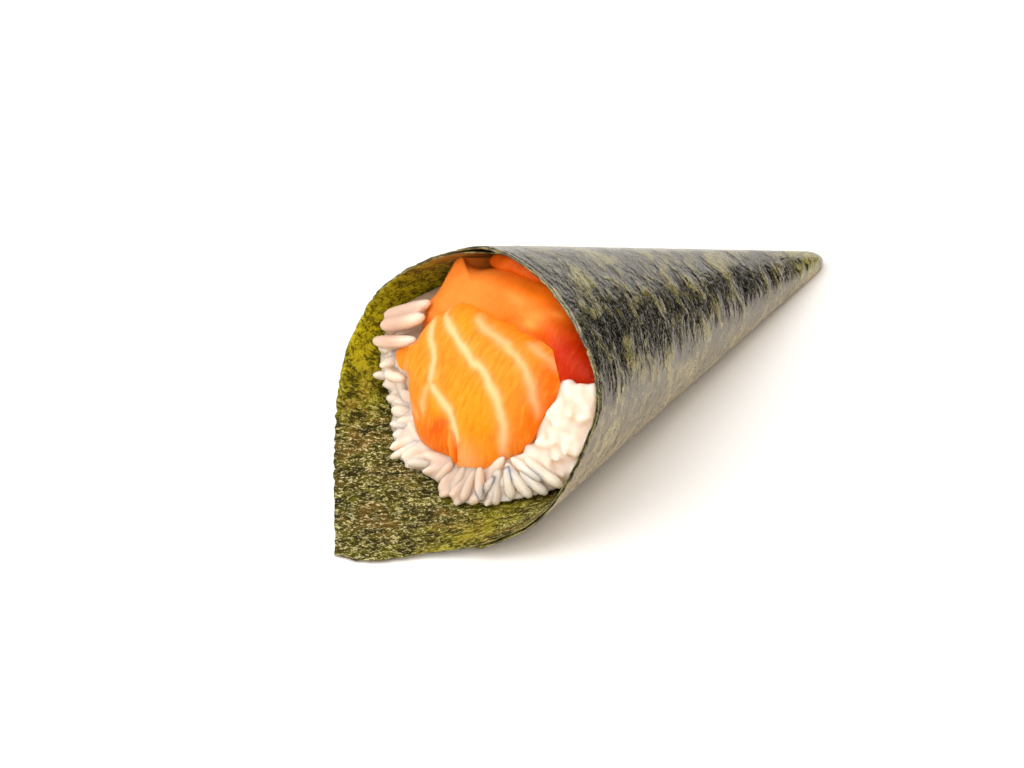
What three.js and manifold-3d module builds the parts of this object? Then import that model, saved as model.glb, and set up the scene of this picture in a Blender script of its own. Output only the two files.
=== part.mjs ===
// A temaki hand roll lying on its side: a half sheet of nori rolled into a cone, filled with sushi rice and
// three slices of salmon that show at the mouth. Millimetres, +Z up. The tip points to +Y, the mouth to -Y.
import * as THREE from 'three';
import * as BufferGeometryUtils from 'three/addons/utils/BufferGeometryUtils.js';
import Module from 'manifold-3d';

const wasm = await Module();
wasm.setup();

// The flat sheet of nori, and how it is wound.
const SHEET_DEPTH = 105;
const TIP_FROM_SIDE = 100.8; // along the long edge, from the side that shows as the flap
const SHEET_THICKNESS = 0.35;
const WRAP_PITCH = 0.65; // from one wrap to the next
const FLAP_CORNER_ANGLE = 3.1; // degrees round the cone from its lowest line
const LIP_DIP = -1.9; // how far the lip strays from the sheet's straight edge, over half a turn
const LIP_SWEEP = 2.6;
const OUTER_EDGE_STEP = 0.4; // the outer wrap's front edge stays this far behind the lip
const OUTER_CORNER_TUCK = 3;
const OUTER_CORNER_TURN = 21; // degrees over which that corner comes forward
const INNER_WRAP_START = 15.5; // inner wraps stop short of the tip
const TIP_SLIT = 8; // degrees left open where the outer wrap closes on itself

// The cone's section, for each unit of length from the tip.
const AXIS_TILT = 10.1; // degrees, so that the lowest line of the cone lies flat
const HALF_WIDTH = 0.283;
const TOP_HALF_HEIGHT = 0.207;
const BOTTOM_SQUARENESS = 3.08;
const TOP_SQUARENESS = 1.65;

// The blunt tip and the spot that the roll rests on.
const TIP_START = 6.4;
const TIP_FULL = 11;
const TIP_OPENING = 0.08;
const OFFSETS_FULL_FROM = 22; // wraps draw together closer to the tip than this
const FLAT_DEPTH = 0.12;
const LEVEL_SLACK = 0.05; // keeps the whole resting strip at one level

// Waves in the loose front of the sheet, and the flap's upper corner, which curls in.
const WAVE_HEIGHT = 0.25;
const WAVE_FROM = 60;
const WAVE_FULL = 130;
const CURL = 1.5;
const CURL_FROM = 93;
const CURL_TURN = 45;

// The filling.
const ROOM_OFFSET = -1.85; // from the cone's surface in to what the wraps leave free
const RICE_OFFSET = -2.1;
const GAP = 0.35;
const MOUTH_LENGTH = 103; // from the tip to the middle of the mouth
const MOUTH_LEAN = 26; // degrees that the filling's face leans back
const SLICE_END_SHARE = 0.12; // how much of its section a slice keeps at its hidden end
const RICE_START = 18;
const GRAIN_LENGTH = 7;
const GRAIN_WIDTH = 2.4;
const GRAIN_SIDES = 5;

const MERGE_DISTANCE = 1e-3;
const COLUMN_STEP = 7.5;
const SHEET_ROWS = 6;
const TIP_ROWS = [TIP_OPENING, 0.35, 0.7, 1];
const CORE_SIDES = 40;
const SLICE_SIDES = 30;

const degrees = THREE.MathUtils.degToRad;
const { lerp, smoothstep, clamp } = THREE.MathUtils;

// The cone's own axes: along it from the tip to the mouth, across it, and up from it.
const ALONG = new THREE.Vector3(0, -Math.cos(degrees(AXIS_TILT)), Math.sin(degrees(AXIS_TILT)));
const ACROSS = new THREE.Vector3(1, 0, 0);
const UP = new THREE.Vector3(0, Math.sin(degrees(AXIS_TILT)), Math.cos(degrees(AXIS_TILT)));

// Direction from the tip along the cone's surface. Angle 0 is the lowest line, 90 the right, 180 the top.
function generator(angle, thinning = 1) {
  const sine = Math.sin(degrees(angle));
  const cosine = Math.cos(degrees(angle));
  const below = cosine > 0;
  const power = 2 / (below ? BOTTOM_SQUARENESS : TOP_SQUARENESS);
  const halfHeight = below ? Math.tan(degrees(AXIS_TILT)) : TOP_HALF_HEIGHT;
  const across = HALF_WIDTH * Math.sign(sine) * Math.abs(sine) ** power;
  const up = -halfHeight * Math.sign(cosine) * Math.abs(cosine) ** power;
  return ALONG.clone()
    .addScaledVector(ACROSS, across * thinning)
    .addScaledVector(UP, up * thinning)
    .normalize();
}

function outward(angle) {
  const turn = generator(angle + 2).sub(generator(angle - 2));
  return turn.cross(generator(angle)).normalize();
}

// A point on the cone's surface, moved out by an offset. The section rounds off to a blunt tip.
function wallPoint(angle, reach, offset) {
  const u = clamp((reach - TIP_START) / (TIP_FULL - TIP_START), 0, 1);
  const thinning = Math.sqrt(u * (2 - u));
  return generator(angle, thinning).multiplyScalar(reach).addScaledVector(outward(angle), offset);
}

// Degrees of flat sheet that a turn round the cone takes up, by whole degree of that turn.
const sheetUsed = [0];
for (let angle = 1; angle <= 360; angle++) {
  const used = THREE.MathUtils.radToDeg(generator(angle).angleTo(generator(angle - 1)));
  sheetUsed.push(sheetUsed[angle - 1] + used);
}

function usedTo(angle) {
  const turns = Math.floor(angle / 360);
  const rest = angle - 360 * turns;
  const whole = Math.min(Math.floor(rest), 359);
  return turns * sheetUsed[360] + lerp(sheetUsed[whole], sheetUsed[whole + 1], rest - whole);
}

// Direction on the flat sheet from the tip, from 0 along one half of the long edge to 180 along the other.
const FLAP_CORNER_BEARING = THREE.MathUtils.radToDeg(Math.atan2(SHEET_DEPTH, TIP_FROM_SIDE));
function bearing(angle) {
  return FLAP_CORNER_BEARING + usedTo(angle) - usedTo(FLAP_CORNER_ANGLE);
}

let wrapStart = FLAP_CORNER_ANGLE;
while (bearing(wrapStart) > 0) {
  wrapStart -= 0.5;
}
let wrapEnd = FLAP_CORNER_ANGLE;
while (bearing(wrapEnd) < 180) {
  wrapEnd += 0.5;
}

// Distance from the tip to the sheet's front edge, along the flap, then the lip, then the outer wrap.
function frontEdge(angle) {
  const onSheet = degrees(bearing(angle));
  const past = angle - FLAP_CORNER_ANGLE;
  if (past <= 0) {
    return TIP_FROM_SIDE / Math.cos(onSheet);
  }
  const straight = SHEET_DEPTH / Math.sin(onSheet);
  if (past <= 180) {
    return straight + LIP_DIP * Math.sin(degrees(past)) + LIP_SWEEP * Math.sin(degrees(2 * past));
  }
  if (past <= 360) {
    return straight;
  }
  const tuck = OUTER_CORNER_TUCK * Math.max(0, 1 - (past - 360) / OUTER_CORNER_TURN);
  const behindLip = frontEdge(angle - 360) - OUTER_EDGE_STEP - tuck;
  return straight > 0 ? Math.min(straight, behindLip) : behindLip;
}

function wrapOffset(angle) {
  return (-WRAP_PITCH * (wrapEnd - angle)) / 360;
}

const REST_OFFSET = wrapOffset(360) + SHEET_THICKNESS / 2;
const LIFT = REST_OFFSET - FLAT_DEPTH;

function wave(angle, reach) {
  const loose = smoothstep(reach, WAVE_FROM, WAVE_FULL);
  const nearFloor = Math.exp(-(((angle - 360 * Math.round(angle / 360)) / 30) ** 2));
  const ripples = Math.sin(degrees(3 * angle) + 0.05 * reach) + 0.6 * Math.sin(degrees(5 * angle) - 0.08 * reach);
  return WAVE_HEIGHT * loose * (1 - nearFloor) * ripples;
}

function curl(angle, reach) {
  const along = smoothstep(reach, CURL_FROM, TIP_FROM_SIDE);
  const round = 1 - smoothstep(angle, wrapStart, wrapStart + CURL_TURN);
  return -CURL * along * round;
}

// A point on one face of the sheet; the lowest line of every wrap is flattened where the roll rests.
function sheetPoint(angle, reach, face) {
  const drawn = Math.min(1, reach / OFFSETS_FULL_FROM);
  const raw = wrapOffset(angle) + (face * SHEET_THICKNESS) / 2;
  const offset = raw * drawn + wave(angle, reach) + curl(angle, reach);
  const point = wallPoint(angle, reach, offset);
  const floor = Math.max(0, REST_OFFSET - raw - LEVEL_SLACK) * drawn;
  point.z = Math.max(point.z + LIFT, floor);
  return point;
}

function solidMesh(points, triangles) {
  const geometry = new THREE.BufferGeometry();
  geometry.setAttribute('position', new THREE.Float32BufferAttribute(points.flatMap((p) => p.toArray()), 3));
  geometry.setIndex(triangles);
  return geometry;
}

// Stacks closed rings of points into a solid, with each ring anticlockwise seen from the first one's side.
// A ring of one point closes an end.
function loft(rings) {
  const points = rings.flat();
  const triangles = [];
  let first = 0;
  for (let k = 0; k + 1 < rings.length; k++) {
    const here = rings[k].length;
    const next = rings[k + 1].length;
    const sides = Math.max(here, next);
    for (let i = 0; i < sides; i++) {
      const a = first + (i % here);
      const b = first + ((i + 1) % here);
      const c = first + here + (i % next);
      const d = first + here + ((i + 1) % next);
      if (here > 1) triangles.push(a, d, b);
      if (next > 1) triangles.push(a, c, d);
    }
    first += here;
  }
  return solidMesh(points, triangles);
}

// Angles of the sheet's columns of points. Every wrap has them at the same places, one at the flap's corner.
function columnAngles() {
  const angles = [wrapStart];
  let angle = FLAP_CORNER_ANGLE - COLUMN_STEP * Math.floor((FLAP_CORNER_ANGLE - wrapStart - 1) / COLUMN_STEP);
  for (; angle < wrapEnd - 1; angle += COLUMN_STEP) {
    angles.push(angle);
  }
  return [...angles, wrapEnd];
}

// The nori: both faces of the wound sheet and the thin edge all round it.
function noriSheet() {
  const angles = columnAngles();
  const columns = angles.length;
  const rows = TIP_ROWS.length + SHEET_ROWS;
  const points = [];
  for (const face of [1, -1]) {
    for (const angle of angles) {
      const reachesTip = angle >= wrapEnd - 360 + TIP_SLIT;
      for (let j = 0; j < rows; j++) {
        const full = frontEdge(angle);
        let reach = lerp(INNER_WRAP_START, full, j / (rows - 1));
        if (reachesTip && j < TIP_ROWS.length) reach = lerp(TIP_START, TIP_FULL, TIP_ROWS[j]);
        if (reachesTip && j >= TIP_ROWS.length) {
          reach = lerp(TIP_FULL, full, (j - TIP_ROWS.length + 1) / SHEET_ROWS);
        }
        points.push(sheetPoint(angle, reach, face));
      }
    }
  }
  const half = columns * rows;
  const outer = (i, j) => i * rows + j;
  const inner = (i, j) => half + i * rows + j;
  const triangles = [];
  const quad = (a, b, c, d) => triangles.push(a, b, c, a, c, d);
  for (let i = 0; i + 1 < columns; i++) {
    for (let j = 0; j + 1 < rows; j++) {
      triangles.push(outer(i, j), outer(i + 1, j), outer(i + 1, j + 1));
      triangles.push(outer(i, j), outer(i + 1, j + 1), outer(i, j + 1));
      triangles.push(inner(i, j), inner(i + 1, j + 1), inner(i + 1, j));
      triangles.push(inner(i, j), inner(i, j + 1), inner(i + 1, j + 1));
    }
    quad(inner(i, 0), inner(i + 1, 0), outer(i + 1, 0), outer(i, 0));
    quad(outer(i, rows - 1), outer(i + 1, rows - 1), inner(i + 1, rows - 1), inner(i, rows - 1));
  }
  for (let j = 0; j + 1 < rows; j++) {
    quad(outer(0, j), outer(0, j + 1), inner(0, j + 1), inner(0, j));
    quad(inner(columns - 1, j), inner(columns - 1, j + 1), outer(columns - 1, j + 1), outer(columns - 1, j));
  }
  return solidMesh(points, triangles);
}

// The filling's leaning face: a point by its place across, up the face, and out of it.
const FACE_UP = UP.clone().multiplyScalar(Math.cos(degrees(MOUTH_LEAN)))
  .addScaledVector(ALONG, -Math.sin(degrees(MOUTH_LEAN)));
const FACE_OUT = ALONG.clone().multiplyScalar(Math.cos(degrees(MOUTH_LEAN)))
  .addScaledVector(UP, Math.sin(degrees(MOUTH_LEAN)));
function facePoint(across, up, out) {
  return ALONG.clone().multiplyScalar(MOUTH_LENGTH)
    .addScaledVector(ACROSS, across)
    .addScaledVector(FACE_UP, up)
    .addScaledVector(FACE_OUT, out);
}

// Each slice: its outline on the face, the middle of its domed front, and where it ends towards the tip.
const SLICES = {
  salmon_front: {
    outline: [[-13, -4.5], [-8.5, -11.5], [-2, -15.8], [8, -15.8], [14.5, -11], [17.3, -4], [17, 4.5],
      [13, 8], [4, 7.4], [-6, 7.4], [-13.5, 3.5]],
    middle: [2, -4],
    rim: 0.5,
    dome: 8,
    end: 0.5,
  },
  salmon_back: {
    outline: [[-13, -2], [0, -4], [16, 0], [22.5, 3.5], [22, 7.5], [15.5, 12.3], [7, 15.2], [-1, 15.6],
      [-8.5, 15.6], [-14.8, 14.6], [-17.5, 4]],
    middle: [2, 7],
    rim: -2.5,
    dome: 5.5,
    end: 0.45,
  },
  salmon_top: {
    outline: [[0, 16.4], [9, 16.6], [5, 19.5], [-2, 21], [-7.8, 19.5], [-8.5, 16.6]],
    middle: [-1, 18],
    rim: -3,
    dome: 2.5,
    end: 0.6,
  },
};

function sliceSolid({ outline, middle, rim, dome, end }, grow) {
  const curve = new THREE.CatmullRomCurve3(outline.map(([x, y]) => new THREE.Vector3(x, y, 0)), true);
  const ring = (fraction, out, scale) => curve.getSpacedPoints(SLICE_SIDES).slice(0, SLICE_SIDES).map((p) => {
    const spread = new THREE.Vector2(p.x - middle[0], p.y - middle[1]);
    spread.multiplyScalar(fraction * (1 + grow / scale / spread.length()));
    return facePoint(middle[0] + spread.x, middle[1] + spread.y, out).multiplyScalar(scale);
  });
  const rings = [[facePoint(...middle, rim + dome + grow)]];
  for (const fraction of [0.3, 0.55, 0.75, 0.9, 0.97]) {
    rings.push(ring(fraction, rim + grow + dome * (1 - fraction ** 2.6) ** 0.7, 1));
  }
  rings.push(ring(1, rim, 1));
  for (const along of [0.8, 0.45, 0.15, 0]) {
    rings.push(ring(Math.sqrt(lerp(SLICE_END_SHARE, 1, along)), rim, lerp(end, 1, along)));
  }
  rings.push([facePoint(...middle, rim).multiplyScalar(end * 0.99)]);
  return loft(rings);
}

function toManifold(geometry) {
  const merged = BufferGeometryUtils.mergeVertices(geometry, MERGE_DISTANCE);
  const vertProperties = new Float32Array(merged.attributes.position.array);
  const triVerts = new Uint32Array(merged.index.array);
  return new wasm.Manifold(new wasm.Mesh({ numProp: 3, vertProperties, triVerts }));
}

function toGeometry(manifold) {
  const mesh = manifold.getMesh();
  const geometry = new THREE.BufferGeometry();
  geometry.setAttribute('position', new THREE.BufferAttribute(new Float32Array(mesh.vertProperties), 3));
  geometry.setIndex(new THREE.BufferAttribute(new Uint32Array(mesh.triVerts), 1));
  return geometry;
}

function insideWall(angle, reach, offset) {
  const point = wallPoint(angle, reach, offset);
  point.z = Math.max(point.z + LIFT, REST_OFFSET - offset);
  return point;
}

function wallRing(reachAt, offset) {
  return Array.from({ length: CORE_SIDES }, (_, i) => {
    const angle = (360 * i) / CORE_SIDES;
    return insideWall(angle, reachAt(angle), offset);
  });
}

// How far the rice reaches along the wall: furthest at the bottom, least under the top of the mouth.
function riceEdge(angle) {
  const fromBottom = angle - 360 * Math.round(angle / 360);
  const tongue = 10 * Math.exp(-(((fromBottom - 5) / 25) ** 2));
  return 98 + 7 * Math.cos(degrees(angle)) + 4 * Math.sin(degrees(angle)) ** 2 - 2 + tongue;
}

const RICE_MIDDLE = facePoint(2, -4, -1).setZ(facePoint(2, -4, -1).z + LIFT);

function riceCore() {
  const rings = [[wallPoint(0, RICE_START, 0).multiply(new THREE.Vector3(0, 1, 0)).setZ(2.6)]];
  for (const along of [0, 0.25, 0.5, 0.75]) {
    rings.push(wallRing((angle) => lerp(RICE_START, riceEdge(angle), along), RICE_OFFSET));
  }
  const edge = wallRing(riceEdge, RICE_OFFSET);
  rings.push(edge);
  for (const fraction of [0.85, 0.6, 0.3]) {
    const bulge = 3 * (1 - fraction) * fraction;
    rings.push(edge.map((p) => RICE_MIDDLE.clone().lerp(p, fraction).addScaledVector(FACE_OUT, bulge)));
  }
  rings.push([RICE_MIDDLE]);
  return loft(rings.reverse());
}

function grainSolid(middle, direction, length) {
  const along = direction.clone().normalize();
  const across = new THREE.Vector3(0, 0, 1).cross(along).normalize();
  const up = along.clone().cross(across);
  const ring = (place, size) => Array.from({ length: GRAIN_SIDES }, (_, i) => {
    const turn = (2 * Math.PI * i) / GRAIN_SIDES;
    return middle.clone()
      .addScaledVector(along, (place * length) / 2)
      .addScaledVector(across, (Math.cos(turn) * size * GRAIN_WIDTH) / 2)
      .addScaledVector(up, (Math.sin(turn) * size * GRAIN_WIDTH) / 2);
  });
  const end = (place) => [middle.clone().addScaledVector(along, (place * length) / 2)];
  return loft([end(1), ring(0.7, 0.75), ring(0, 1), ring(-0.7, 0.75), end(-1)]);
}

// Seeded random numbers, so that every build places the grains alike.
let seed = 11;
function random() {
  seed = (seed * 1664525 + 1013904223) % 4294967296;
  return seed / 4294967296;
}

// Grains stand out of the rice all round the salmon, leaning outwards like petals, in rows from the wall in.
const GRAIN_ARC = 112; // degrees to each side of the lowest line
const GRAIN_ROWS = [
  { fraction: 0.97, count: 34 },
  { fraction: 0.87, count: 28 },
  { fraction: 0.77, count: 20 },
];
const GRAIN_SUNK = 1.2;

function grains() {
  const along = [];
  for (let angle = -GRAIN_ARC; angle <= GRAIN_ARC; angle += 4) {
    along.push(insideWall(angle, riceEdge(angle), RICE_OFFSET));
  }
  const rim = new THREE.CatmullRomCurve3(along);
  const placed = [];
  for (const { fraction, count } of GRAIN_ROWS) {
    for (let i = 0; i < count; i++) {
      const edge = rim.getPointAt((i + 0.2 + 0.6 * random()) / count);
      const spot = RICE_MIDDLE.clone().lerp(edge, fraction + 0.05 * (random() - 0.5));
      const away = edge.clone().sub(RICE_MIDDLE).normalize();
      const lean = new THREE.Vector3(random() - 0.5, random() - 0.5, random() - 0.5);
      const direction = FACE_OUT.clone().addScaledVector(away, 0.35 + 0.5 * random()).addScaledVector(lean, 1.3);
      const length = GRAIN_LENGTH * (0.85 + 0.3 * random());
      direction.normalize();
      spot.addScaledVector(direction, length / 2 - GRAIN_SUNK - 1.5 * random());
      placed.push(grainSolid(spot, direction, length));
    }
  }
  return placed;
}

// Drops loose scraps and fills the hollows that joining the grains seals.
function largestPiece(manifold) {
  const merged = toManifold(toGeometry(manifold));
  return merged.decompose().reduce((best, piece) => (piece.volume() > best.volume() ? piece : best));
}

const roll = new THREE.Group();

function addNode(name, geometry, colour, roughness) {
  const material = new THREE.MeshStandardMaterial({ color: colour, roughness, metalness: 0 });
  const mesh = new THREE.Mesh(geometry, material);
  mesh.name = name;
  roll.add(mesh);
}

// Room inside the innermost wrap, which nothing in the filling passes.
const room = toManifold(loft([
  [facePoint(0, 0, 30)],
  wallRing(() => 140, ROOM_OFFSET),
  wallRing(() => RICE_START - 1, ROOM_OFFSET),
  [new THREE.Vector3(0, -RICE_START, 2.8)],
]));

const raised = new THREE.Matrix4().makeTranslation(0, 0, LIFT);
const slices = {};
let taken = null;
for (const [name, shape] of Object.entries(SLICES)) {
  let slice = toManifold(sliceSolid(shape, 0).applyMatrix4(raised)).intersect(room);
  if (taken) slice = slice.subtract(taken);
  slices[name] = largestPiece(slice);
  const grown = toManifold(sliceSolid(shape, GAP).applyMatrix4(raised));
  taken = taken ? taken.add(grown) : grown;
}

let rice = toManifold(riceCore());
for (const grain of grains()) {
  rice = rice.add(toManifold(grain));
}
rice = largestPiece(rice.intersect(room).subtract(taken));

addNode('nori', noriSheet(), 0x2f3a24, 0.45);
addNode('rice', toGeometry(rice), 0xf3ece0, 0.5);
addNode('salmon_front', toGeometry(slices.salmon_front), 0xff9a2e, 0.35);
addNode('salmon_back', toGeometry(slices.salmon_back), 0xf56a1c, 0.35);
addNode('salmon_top', toGeometry(slices.salmon_top), 0xe8601a, 0.35);

// The origin is under the middle of the whole roll, at the surface that it rests on.
const bounds = new THREE.Box3().setFromObject(roll);
const middle = bounds.getCenter(new THREE.Vector3());
roll.position.set(-middle.x, -middle.y, -bounds.min.z);

export default roll;
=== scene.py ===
"""A temaki hand roll: nori wound into a cone round sushi rice and three slices of salmon.

The forms are worked out in millimetres from the tip of the cone, as in the model's frame, and become metres
when they are put in a mesh. Angles round the cone are in degrees: 0 is its lowest line, 90 the right, 180 the top.
"""
import math

import bpy
import numpy as np
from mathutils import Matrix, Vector, noise


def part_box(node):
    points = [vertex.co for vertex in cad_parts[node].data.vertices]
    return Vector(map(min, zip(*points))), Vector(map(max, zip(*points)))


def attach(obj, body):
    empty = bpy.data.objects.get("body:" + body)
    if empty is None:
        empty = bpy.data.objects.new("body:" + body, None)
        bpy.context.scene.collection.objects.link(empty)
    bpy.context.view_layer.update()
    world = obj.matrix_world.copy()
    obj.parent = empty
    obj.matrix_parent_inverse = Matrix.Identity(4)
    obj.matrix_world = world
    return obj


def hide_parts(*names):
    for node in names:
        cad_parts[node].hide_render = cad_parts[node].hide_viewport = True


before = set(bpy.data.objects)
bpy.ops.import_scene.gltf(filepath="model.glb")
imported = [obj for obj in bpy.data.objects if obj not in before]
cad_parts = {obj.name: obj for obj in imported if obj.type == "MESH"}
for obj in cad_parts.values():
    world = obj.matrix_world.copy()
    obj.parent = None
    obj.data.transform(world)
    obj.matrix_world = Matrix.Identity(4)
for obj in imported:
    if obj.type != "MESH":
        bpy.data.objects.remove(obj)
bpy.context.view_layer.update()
MM = 0.001

# ---------------------------------------------------------------- the cone

AXIS_TILT = math.radians(10.1)
HALF_WIDTH = 0.283  # of the section, for each unit of length from the tip
TOP_HALF_HEIGHT = 0.207
BOTTOM_SQUARENESS = 3.08
TOP_SQUARENESS = 1.65
TIP_START = 6.4
TIP_FULL = 11
TIP_OPENING = 0.05

ALONG = np.array([0, -math.cos(AXIS_TILT), math.sin(AXIS_TILT)])
ACROSS = np.array([1.0, 0, 0])
UP = np.array([0, math.sin(AXIS_TILT), math.cos(AXIS_TILT)])


def section(angle):
    """Where a line of the cone passes, across and up from its axis, one unit along it from the tip."""
    sine, cosine = np.sin(np.radians(angle)), np.cos(np.radians(angle))
    below = cosine > 0
    power = np.where(below, 2 / BOTTOM_SQUARENESS, 2 / TOP_SQUARENESS)
    half_height = np.where(below, math.tan(AXIS_TILT), TOP_HALF_HEIGHT)
    across = HALF_WIDTH * np.sign(sine) * np.abs(sine) ** power
    up = -half_height * np.sign(cosine) * np.abs(cosine) ** power
    return across, up


def unit(vectors):
    return vectors / np.linalg.norm(vectors, axis=-1, keepdims=True)


def generator(angle, thinning=1.0):
    across, up = section(np.asarray(angle, float))
    thin = np.broadcast_to(thinning, across.shape)
    return unit(ALONG + (across * thin)[..., None] * ACROSS + (up * thin)[..., None] * UP)


def outward(angle):
    turn = generator(angle + 2) - generator(angle - 2)
    return unit(np.cross(turn, generator(angle)))


def from_bottom(angle):
    """An angle round the cone as one from -180 to 180, 0 at its lowest line."""
    return angle - 360 * np.round(angle / 360)


def wall(angle, reach, offset):
    """A point on the cone's surface, moved out by an offset. The section rounds off to a blunt tip."""
    u = np.clip((reach - TIP_START) / (TIP_FULL - TIP_START), 0, 1)
    thinning = np.sqrt(u * (2 - u))
    offset = np.broadcast_to(offset, np.shape(angle))
    return generator(angle, thinning) * np.asarray(reach)[..., None] + outward(angle) * offset[..., None]


def smooth(value, low, high):
    t = np.clip((value - low) / (high - low), 0, 1)
    return t * t * (3 - 2 * t)


def bell(value, width):
    """1 where a value is 0, fading away over a width on both sides."""
    return np.exp(-((value / width) ** 2))


def spot(across, up, place, size):
    """The same round a place, over its own width across and up."""
    return np.exp(-(((across - place[0]) / size[0]) ** 2) - ((up - place[1]) / size[1]) ** 2)


# ---------------------------------------------------------------- the sheet of nori and how it is wound

SHEET_DEPTH = 105
TIP_FROM_SIDE = 100.8
SHEET_THICKNESS = 0.2
WRAP_PITCH = 0.45
FLAP_CORNER_ANGLE = 3.1
LIP_DIP = -1.9
LIP_SWEEP = 2.6
CORNER_BULGE = 1.9  # of the flap's lower edge, beside its corner
LIP_HOLLOW = 1.5  # of the lip, where the rice presses on it
OUTER_EDGE_STEP = 0.3
OUTER_EDGE_REACH = 0.9  # past the lip, at the lower right
HIDDEN_STEP = 0.5  # the outer wrap ends this far behind the flap
CLOSED_GAP = 0.2  # the outer wrap lies this much closer along the top of the lip
OUTER_CORNER_TUCK = 9
OUTER_CORNER_TURN = 30
OUTER_CORNER_CUT = 4.0  # the last corner is rounded off where the outer wrap ends
OUTER_CORNER_SPAN = (181, 203)
HIDDEN_SPAN = (190, 206)
INNER_CORNER_CUT = 14  # the first corner is cut back this far, under the salmon
INNER_CORNER_TURN = 34
INNER_WRAP_START = 15.5
TIP_SLIT = 8
OFFSETS_FULL_FROM = 22
FLAT_DEPTH = 0.12
LEVEL_SLACK = 0.05
WAVE_HEIGHT = 0.25
WAVE_FROM = 60
WAVE_FULL = 130
CURL = 1.2
CURL_FROM = 88
CURL_TURN = 45
FRAY = 0.45
COLUMNS = 450
ROWS = 84

WHOLE_TURN = np.arange(361.0)
USED = np.concatenate([[0], np.cumsum(np.degrees(np.arccos(np.clip(
    (generator(WHOLE_TURN[1:]) * generator(WHOLE_TURN[:-1])).sum(-1), -1, 1))))])


def used_to(angle):
    """Degrees of flat sheet that the cone takes up, from its lowest line to an angle round it."""
    turns = np.floor(np.asarray(angle, float) / 360)
    return turns * USED[360] + np.interp(angle - 360 * turns, WHOLE_TURN, USED)


FLAP_CORNER_BEARING = math.degrees(math.atan2(SHEET_DEPTH, TIP_FROM_SIDE))


def bearing(angle):
    """Direction on the flat sheet from the tip, from 0 along one half of its long edge to 180 along the other."""
    return FLAP_CORNER_BEARING + used_to(angle) - used_to(FLAP_CORNER_ANGLE)


ANGLES = np.arange(-200, 600, 0.25)
WRAP_START, WRAP_END = np.interp([0, 180], bearing(ANGLES), ANGLES)


def first_edge(angle):
    """Distance from the tip to the sheet's edge, along the flap and then the lip."""
    on_sheet = np.radians(bearing(angle))
    past = angle - FLAP_CORNER_ANGLE
    turned = np.radians(past)
    with np.errstate(divide="ignore"):
        straight = SHEET_DEPTH / np.abs(np.sin(on_sheet))
        flap = TIP_FROM_SIDE / np.abs(np.cos(on_sheet))
    lip = straight + LIP_DIP * np.sin(turned) + LIP_SWEEP * np.sin(2 * turned)
    lip += CORNER_BULGE * bell(past - 6, 6) * smooth(past, 0, 3)
    lip -= LIP_HOLLOW * bell(past - 98, 24)
    cut = INNER_CORNER_CUT * np.clip(1 - (angle - WRAP_START) / INNER_CORNER_TURN, 0, 1) ** 1.5
    return np.where(past <= 0, flap - cut, np.where(past <= 180, lip, straight))


def front_edge(angle):
    """The same for the whole sheet, whose outer wrap ends just behind the lip."""
    past = angle - FLAP_CORNER_ANGLE - 360
    tuck = OUTER_CORNER_TUCK * np.clip(1 - past / OUTER_CORNER_TURN, 0, 1)
    proud = OUTER_EDGE_REACH * bell(past - 42, 32)
    rounded = OUTER_CORNER_CUT * smooth(past, *OUTER_CORNER_SPAN)
    behind = first_edge(angle - 360) - OUTER_EDGE_STEP - tuck + proud - rounded
    edge = first_edge(angle)
    with np.errstate(divide="ignore"):
        flap = TIP_FROM_SIDE / np.abs(np.cos(np.radians(bearing(angle - 360))))
    hidden = edge + (np.minimum(edge, flap - HIDDEN_STEP) - edge) * smooth(angle, *HIDDEN_SPAN)
    hidden = np.where((angle > 183) & (past <= 0), hidden, edge)
    return np.where(past > 0, np.minimum(edge, behind), hidden)


def wrap_offset(angle):
    return -WRAP_PITCH * (WRAP_END - angle) / 360


REST_OFFSET = float(wrap_offset(360)) + SHEET_THICKNESS / 2
LIFT = REST_OFFSET - FLAT_DEPTH


def wave(angle, reach):
    loose = smooth(reach, WAVE_FROM, WAVE_FULL)
    near_floor = bell(from_bottom(angle), 30)
    ripples = np.sin(np.radians(3 * angle) + 0.05 * reach) + 0.6 * np.sin(np.radians(5 * angle) - 0.08 * reach)
    return WAVE_HEIGHT * loose * (1 - near_floor) * ripples


def curl(angle, reach):
    along = smooth(reach, CURL_FROM, TIP_FROM_SIDE)
    return -CURL * along * (1 - smooth(angle, WRAP_START, WRAP_START + CURL_TURN))


def sheet_points(angle, reach, face=0.0):
    """Points on the wound sheet. Its lowest line is flattened where the roll rests."""
    drawn = np.minimum(1, reach / OFFSETS_FULL_FROM)
    raw = wrap_offset(angle) + face * SHEET_THICKNESS / 2
    inner_angle = np.asarray(angle) - 360  # of the wrap just inside this one
    closed = smooth(inner_angle, 80, 115) * smooth(reach - first_edge(inner_angle), -16, -2)
    raw = raw - CLOSED_GAP * closed
    points = wall(angle, reach, raw * drawn + wave(angle, reach) + curl(angle, reach))
    level = np.maximum(0, REST_OFFSET - raw - LEVEL_SLACK) * drawn
    points[..., 2] = np.maximum(points[..., 2] + LIFT, level)
    return points


SECTION_LINE = np.stack(section(np.arange(0, 360, 1.0)), axis=-1)


def beside_wall(points):
    """The nearest angle round the cone to each point, and how far inside the cone's surface the point is."""
    away = points - np.array([0, 0, LIFT])
    length = away @ ALONG
    place = np.stack([away @ ACROSS, away @ UP], axis=-1) / length[:, None]
    far = np.linalg.norm(place[:, None] - SECTION_LINE[None], axis=-1)
    nearest = far.argmin(1)
    inside = np.linalg.norm(place, axis=1) < np.linalg.norm(SECTION_LINE[nearest], axis=1)
    return nearest.astype(float), np.where(inside, 1, -1) * far.min(1) * length


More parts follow.
